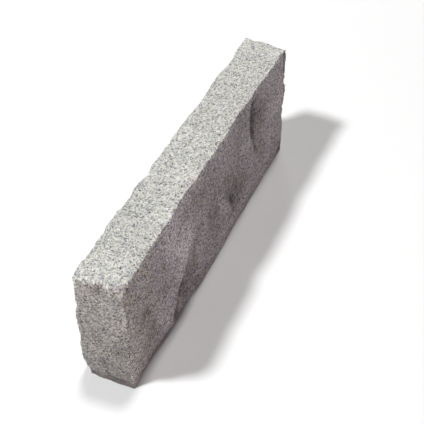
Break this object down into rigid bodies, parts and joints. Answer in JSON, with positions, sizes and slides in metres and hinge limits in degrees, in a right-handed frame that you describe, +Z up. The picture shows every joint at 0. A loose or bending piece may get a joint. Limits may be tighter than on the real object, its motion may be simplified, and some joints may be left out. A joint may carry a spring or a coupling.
{
  "type": "granite kerb stone",
  "caption": "Rough-hewn granite kerb stone: a long, deep, narrow block with a dressed top, split faces and worn arrises, for edging a road, path or bed.",
  "frame": {"origin": "middle of the block's footprint, on the bed that it stands on", "axes": "+X along the stone from the near end of the picture to the far end, -Y out of the road face, +Y out of the back, +Z up from the bed to the dressed top"},
  "size_m": [0.8078, 0.1228, 0.3207],
  "materials": {
    "granite": "rough hewn, fine light-grey grain with darker specks"
  },
  "bodies": {
    "root": {"kerb_stone": "granite"}
  },
  "joints": []
}
